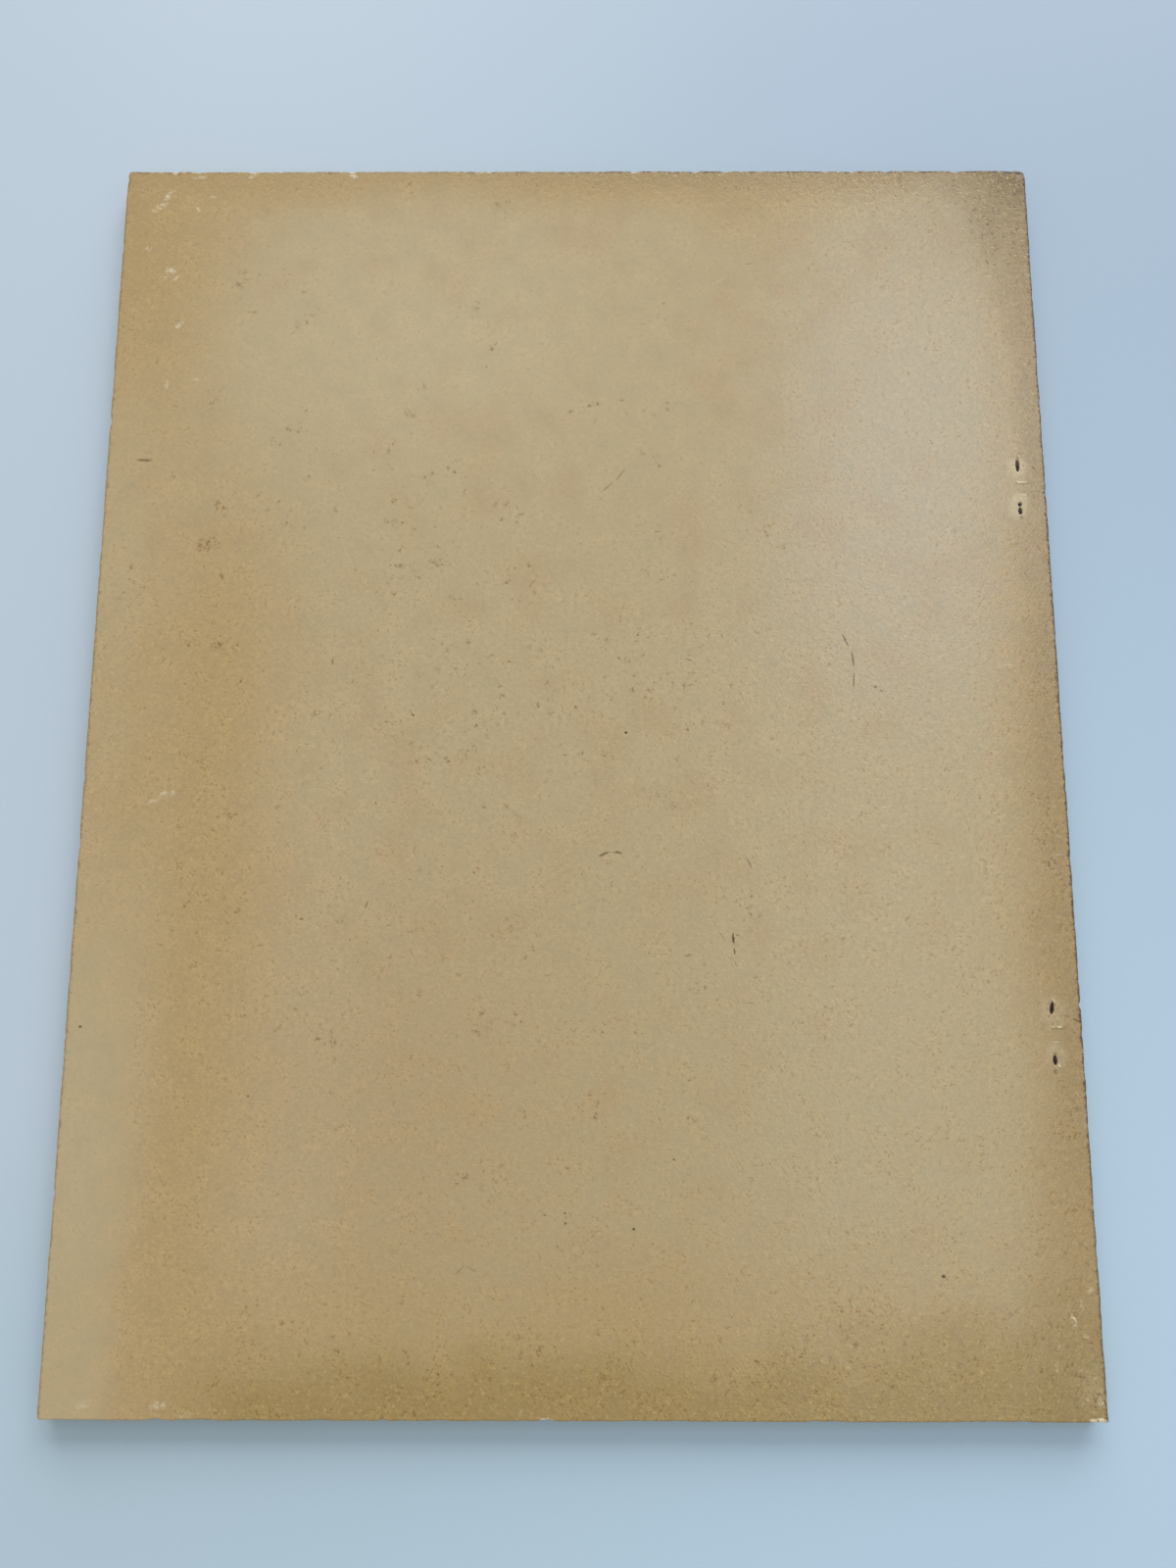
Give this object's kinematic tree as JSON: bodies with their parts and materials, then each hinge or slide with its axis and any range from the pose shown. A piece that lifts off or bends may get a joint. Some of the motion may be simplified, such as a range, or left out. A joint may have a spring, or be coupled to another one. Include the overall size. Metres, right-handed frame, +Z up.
{
  "type": "stapled booklet",
  "caption": "Side-stapled booklet with aged card covers and blank paper leaves that turn beside the bound margin, held by clinched wire staples.",
  "frame": {"origin": "middle of the front cover's outer face, on the surface that the closed booklet lies on", "axes": "+X towards the bound edge, +Y towards the head of the page, +Z up through the leaves to the back cover"},
  "size_m": [0.216, 0.2794, 0.005],
  "materials": {
    "cover_card": "aged tan card, soft sheen, darker towards its edges",
    "leaf_paper": "matt uncoated paper, toned by age",
    "staple_wire": "oxidised flat wire"
  },
  "bodies": {
    "binding": {"front_cover_margin": "cover_card", "leaf_margins": "leaf_paper", "back_cover_margin": "cover_card", "upper_staple": "staple_wire", "lower_staple": "staple_wire"},
    "front_cover": {"front_cover": "cover_card"},
    "leaf_01": {"leaf_01": "leaf_paper"},
    "leaf_02": {"leaf_02": "leaf_paper"},
    "leaf_03": {"leaf_03": "leaf_paper"},
    "leaf_04": {"leaf_04": "leaf_paper"},
    "leaf_05": {"leaf_05": "leaf_paper"},
    "leaf_06": {"leaf_06": "leaf_paper"},
    "leaf_07": {"leaf_07": "leaf_paper"},
    "leaf_08": {"leaf_08": "leaf_paper"},
    "leaf_09": {"leaf_09": "leaf_paper"},
    "leaf_10": {"leaf_10": "leaf_paper"},
    "leaf_11": {"leaf_11": "leaf_paper"},
    "leaf_12": {"leaf_12": "leaf_paper"},
    "leaf_13": {"leaf_13": "leaf_paper"},
    "leaf_14": {"leaf_14": "leaf_paper"},
    "leaf_15": {"leaf_15": "leaf_paper"},
    "leaf_16": {"leaf_16": "leaf_paper"},
    "leaf_17": {"leaf_17": "leaf_paper"},
    "leaf_18": {"leaf_18": "leaf_paper"},
    "leaf_19": {"leaf_19": "leaf_paper"},
    "leaf_20": {"leaf_20": "leaf_paper"},
    "leaf_21": {"leaf_21": "leaf_paper"},
    "leaf_22": {"leaf_22": "leaf_paper"},
    "leaf_23": {"leaf_23": "leaf_paper"},
    "leaf_24": {"leaf_24": "leaf_paper"},
    "leaf_25": {"leaf_25": "leaf_paper"},
    "leaf_26": {"leaf_26": "leaf_paper"},
    "leaf_27": {"leaf_27": "leaf_paper"},
    "leaf_28": {"leaf_28": "leaf_paper"},
    "leaf_29": {"leaf_29": "leaf_paper"},
    "leaf_30": {"leaf_30": "leaf_paper"},
    "leaf_31": {"leaf_31": "leaf_paper"},
    "leaf_32": {"leaf_32": "leaf_paper"},
    "leaf_33": {"leaf_33": "leaf_paper"},
    "leaf_34": {"leaf_34": "leaf_paper"},
    "leaf_35": {"leaf_35": "leaf_paper"},
    "leaf_36": {"leaf_36": "leaf_paper"},
    "leaf_37": {"leaf_37": "leaf_paper"},
    "leaf_38": {"leaf_38": "leaf_paper"},
    "leaf_39": {"leaf_39": "leaf_paper"},
    "leaf_40": {"leaf_40": "leaf_paper"},
    "back_cover": {"back_cover": "cover_card"}
  },
  "joints": [
    {"name": "back_cover_turn", "type": "hinge", "parent": "binding", "child": "back_cover", "pos_m": [0.09795, 0, 0.005], "axis": [0, 1, 0], "range_deg": [0, 165]},
    {"name": "front_cover_turn", "type": "hinge", "parent": "binding", "child": "front_cover", "pos_m": [0.09795, 0, 0], "axis": [0, -1, 0], "range_deg": [0, 165]},
    {"name": "leaf_01_turn", "type": "hinge", "parent": "binding", "child": "leaf_01", "pos_m": [0.09198, 0, 0.0006], "axis": [0, 1, 0], "range_deg": [0, 0.85]},
    {"name": "leaf_02_turn", "type": "hinge", "parent": "binding", "child": "leaf_02", "pos_m": [0.092, 0, 0.0007], "axis": [0, 1, 0], "range_deg": [0, 1.65]},
    {"name": "leaf_03_turn", "type": "hinge", "parent": "binding", "child": "leaf_03", "pos_m": [0.09202, 0, 0.0008], "axis": [0, 1, 0], "range_deg": [0, 2.45]},
    {"name": "leaf_04_turn", "type": "hinge", "parent": "binding", "child": "leaf_04", "pos_m": [0.09205, 0, 0.0009], "axis": [0, 1, 0], "range_deg": [0, 3.25]},
    {"name": "leaf_05_turn", "type": "hinge", "parent": "binding", "child": "leaf_05", "pos_m": [0.09207, 0, 0.001], "axis": [0, 1, 0], "range_deg": [0, 4.05]},
    {"name": "leaf_06_turn", "type": "hinge", "parent": "binding", "child": "leaf_06", "pos_m": [0.09209, 0, 0.0011], "axis": [0, 1, 0], "range_deg": [0, 4.85]},
    {"name": "leaf_07_turn", "type": "hinge", "parent": "binding", "child": "leaf_07", "pos_m": [0.09212, 0, 0.0012], "axis": [0, 1, 0], "range_deg": [0, 5.65]},
    {"name": "leaf_08_turn", "type": "hinge", "parent": "binding", "child": "leaf_08", "pos_m": [0.09214, 0, 0.0013], "axis": [0, 1, 0], "range_deg": [0, 6.45]},
    {"name": "leaf_09_turn", "type": "hinge", "parent": "binding", "child": "leaf_09", "pos_m": [0.09217, 0, 0.0014], "axis": [0, 1, 0], "range_deg": [0, 7.25]},
    {"name": "leaf_10_turn", "type": "hinge", "parent": "binding", "child": "leaf_10", "pos_m": [0.09219, 0, 0.0015], "axis": [0, 1, 0], "range_deg": [0, 8.05]},
    {"name": "leaf_11_turn", "type": "hinge", "parent": "binding", "child": "leaf_11", "pos_m": [0.09222, 0, 0.0016], "axis": [0, 1, 0], "range_deg": [0, 8.85]},
    {"name": "leaf_12_turn", "type": "hinge", "parent": "binding", "child": "leaf_12", "pos_m": [0.09225, 0, 0.0017], "axis": [0, 1, 0], "range_deg": [0, 9.65]},
    {"name": "leaf_13_turn", "type": "hinge", "parent": "binding", "child": "leaf_13", "pos_m": [0.09228, 0, 0.0018], "axis": [0, 1, 0], "range_deg": [0, 10.45]},
    {"name": "leaf_14_turn", "type": "hinge", "parent": "binding", "child": "leaf_14", "pos_m": [0.09231, 0, 0.0019], "axis": [0, 1, 0], "range_deg": [0, 11.25]},
    {"name": "leaf_15_turn", "type": "hinge", "parent": "binding", "child": "leaf_15", "pos_m": [0.09234, 0, 0.002], "axis": [0, 1, 0], "range_deg": [0, 12.05]},
    {"name": "leaf_16_turn", "type": "hinge", "parent": "binding", "child": "leaf_16", "pos_m": [0.09237, 0, 0.0021], "axis": [0, 1, 0], "range_deg": [0, 12.85]},
    {"name": "leaf_17_turn", "type": "hinge", "parent": "binding", "child": "leaf_17", "pos_m": [0.0924, 0, 0.0022], "axis": [0, 1, 0], "range_deg": [0, 13.65]},
    {"name": "leaf_18_turn", "type": "hinge", "parent": "binding", "child": "leaf_18", "pos_m": [0.09243, 0, 0.0023], "axis": [0, 1, 0], "range_deg": [0, 14.45]},
    {"name": "leaf_19_turn", "type": "hinge", "parent": "binding", "child": "leaf_19", "pos_m": [0.09246, 0, 0.0024], "axis": [0, 1, 0], "range_deg": [0, 15.25]},
    {"name": "leaf_20_turn", "type": "hinge", "parent": "binding", "child": "leaf_20", "pos_m": [0.0925, 0, 0.0025], "axis": [0, 1, 0], "range_deg": [0, 16.05]},
    {"name": "leaf_21_turn", "type": "hinge", "parent": "binding", "child": "leaf_21", "pos_m": [0.09253, 0, 0.0026], "axis": [0, 1, 0], "range_deg": [0, 113.35]},
    {"name": "leaf_22_turn", "type": "hinge", "parent": "binding", "child": "leaf_22", "pos_m": [0.0927, 0, 0.0027], "axis": [0, 1, 0], "range_deg": [0, 114.65]},
    {"name": "leaf_23_turn", "type": "hinge", "parent": "binding", "child": "leaf_23", "pos_m": [0.09288, 0, 0.0028], "axis": [0, 1, 0], "range_deg": [0, 115.95]},
    {"name": "leaf_24_turn", "type": "hinge", "parent": "binding", "child": "leaf_24", "pos_m": [0.09306, 0, 0.0029], "axis": [0, 1, 0], "range_deg": [0, 117.25]},
    {"name": "leaf_25_turn", "type": "hinge", "parent": "binding", "child": "leaf_25", "pos_m": [0.09324, 0, 0.003], "axis": [0, 1, 0], "range_deg": [0, 118.55]},
    {"name": "leaf_26_turn", "type": "hinge", "parent": "binding", "child": "leaf_26", "pos_m": [0.09343, 0, 0.0031], "axis": [0, 1, 0], "range_deg": [0, 119.85]},
    {"name": "leaf_27_turn", "type": "hinge", "parent": "binding", "child": "leaf_27", "pos_m": [0.09362, 0, 0.0032], "axis": [0, 1, 0], "range_deg": [0, 121.15]},
    {"name": "leaf_28_turn", "type": "hinge", "parent": "binding", "child": "leaf_28", "pos_m": [0.09382, 0, 0.0033], "axis": [0, 1, 0], "range_deg": [0, 122.45]},
    {"name": "leaf_29_turn", "type": "hinge", "parent": "binding", "child": "leaf_29", "pos_m": [0.09402, 0, 0.0034], "axis": [0, 1, 0], "range_deg": [0, 123.75]},
    {"name": "leaf_30_turn", "type": "hinge", "parent": "binding", "child": "leaf_30", "pos_m": [0.09423, 0, 0.0035], "axis": [0, 1, 0], "range_deg": [0, 125.05]},
    {"name": "leaf_31_turn", "type": "hinge", "parent": "binding", "child": "leaf_31", "pos_m": [0.09444, 0, 0.0036], "axis": [0, 1, 0], "range_deg": [0, 126.35]},
    {"name": "leaf_32_turn", "type": "hinge", "parent": "binding", "child": "leaf_32", "pos_m": [0.09466, 0, 0.0037], "axis": [0, 1, 0], "range_deg": [0, 127.65]},
    {"name": "leaf_33_turn", "type": "hinge", "parent": "binding", "child": "leaf_33", "pos_m": [0.09488, 0, 0.0038], "axis": [0, 1, 0], "range_deg": [0, 128.95]},
    {"name": "leaf_34_turn", "type": "hinge", "parent": "binding", "child": "leaf_34", "pos_m": [0.09511, 0, 0.0039], "axis": [0, 1, 0], "range_deg": [0, 130.25]},
    {"name": "leaf_35_turn", "type": "hinge", "parent": "binding", "child": "leaf_35", "pos_m": [0.09534, 0, 0.004], "axis": [0, 1, 0], "range_deg": [0, 131.55]},
    {"name": "leaf_36_turn", "type": "hinge", "parent": "binding", "child": "leaf_36", "pos_m": [0.09559, 0, 0.0041], "axis": [0, 1, 0], "range_deg": [0, 132.85]},
    {"name": "leaf_37_turn", "type": "hinge", "parent": "binding", "child": "leaf_37", "pos_m": [0.09584, 0, 0.0042], "axis": [0, 1, 0], "range_deg": [0, 134.15]},
    {"name": "leaf_38_turn", "type": "hinge", "parent": "binding", "child": "leaf_38", "pos_m": [0.09609, 0, 0.0043], "axis": [0, 1, 0], "range_deg": [0, 135.45]},
    {"name": "leaf_39_turn", "type": "hinge", "parent": "binding", "child": "leaf_39", "pos_m": [0.09636, 0, 0.0044], "axis": [0, 1, 0], "range_deg": [0, 136.75]},
    {"name": "leaf_40_turn", "type": "hinge", "parent": "binding", "child": "leaf_40", "pos_m": [0.09663, 0, 0.0045], "axis": [0, 1, 0], "range_deg": [0, 138.05]}
  ],
  "couplings": [
    {"joint": "leaf_01_turn", "follows": "back_cover_turn", "ratio": 0.0048485},
    {"joint": "leaf_02_turn", "follows": "back_cover_turn", "ratio": 0.009697},
    {"joint": "leaf_03_turn", "follows": "back_cover_turn", "ratio": 0.014545},
    {"joint": "leaf_04_turn", "follows": "back_cover_turn", "ratio": 0.019394},
    {"joint": "leaf_05_turn", "follows": "back_cover_turn", "ratio": 0.024242},
    {"joint": "leaf_06_turn", "follows": "back_cover_turn", "ratio": 0.029091},
    {"joint": "leaf_07_turn", "follows": "back_cover_turn", "ratio": 0.033939},
    {"joint": "leaf_08_turn", "follows": "back_cover_turn", "ratio": 0.038788},
    {"joint": "leaf_09_turn", "follows": "back_cover_turn", "ratio": 0.043636},
    {"joint": "leaf_10_turn", "follows": "back_cover_turn", "ratio": 0.048485},
    {"joint": "leaf_11_turn", "follows": "back_cover_turn", "ratio": 0.053333},
    {"joint": "leaf_12_turn", "follows": "back_cover_turn", "ratio": 0.058182},
    {"joint": "leaf_13_turn", "follows": "back_cover_turn", "ratio": 0.06303},
    {"joint": "leaf_14_turn", "follows": "back_cover_turn", "ratio": 0.067879},
    {"joint": "leaf_15_turn", "follows": "back_cover_turn", "ratio": 0.072727},
    {"joint": "leaf_16_turn", "follows": "back_cover_turn", "ratio": 0.077576},
    {"joint": "leaf_17_turn", "follows": "back_cover_turn", "ratio": 0.082424},
    {"joint": "leaf_18_turn", "follows": "back_cover_turn", "ratio": 0.087273},
    {"joint": "leaf_19_turn", "follows": "back_cover_turn", "ratio": 0.092121},
    {"joint": "leaf_20_turn", "follows": "back_cover_turn", "ratio": 0.09697},
    {"joint": "leaf_21_turn", "follows": "back_cover_turn", "ratio": 0.68667},
    {"joint": "leaf_22_turn", "follows": "back_cover_turn", "ratio": 0.69455},
    {"joint": "leaf_23_turn", "follows": "back_cover_turn", "ratio": 0.70242},
    {"joint": "leaf_24_turn", "follows": "back_cover_turn", "ratio": 0.7103},
    {"joint": "leaf_25_turn", "follows": "back_cover_turn", "ratio": 0.71818},
    {"joint": "leaf_26_turn", "follows": "back_cover_turn", "ratio": 0.72606},
    {"joint": "leaf_27_turn", "follows": "back_cover_turn", "ratio": 0.73394},
    {"joint": "leaf_28_turn", "follows": "back_cover_turn", "ratio": 0.74182},
    {"joint": "leaf_29_turn", "follows": "back_cover_turn", "ratio": 0.7497},
    {"joint": "leaf_30_turn", "follows": "back_cover_turn", "ratio": 0.75758},
    {"joint": "leaf_31_turn", "follows": "back_cover_turn", "ratio": 0.76545},
    {"joint": "leaf_32_turn", "follows": "back_cover_turn", "ratio": 0.77333},
    {"joint": "leaf_33_turn", "follows": "back_cover_turn", "ratio": 0.78121},
    {"joint": "leaf_34_turn", "follows": "back_cover_turn", "ratio": 0.78909},
    {"joint": "leaf_35_turn", "follows": "back_cover_turn", "ratio": 0.79697},
    {"joint": "leaf_36_turn", "follows": "back_cover_turn", "ratio": 0.80485},
    {"joint": "leaf_37_turn", "follows": "back_cover_turn", "ratio": 0.81273},
    {"joint": "leaf_38_turn", "follows": "back_cover_turn", "ratio": 0.82061},
    {"joint": "leaf_39_turn", "follows": "back_cover_turn", "ratio": 0.82848},
    {"joint": "leaf_40_turn", "follows": "back_cover_turn", "ratio": 0.83636}
  ]
}
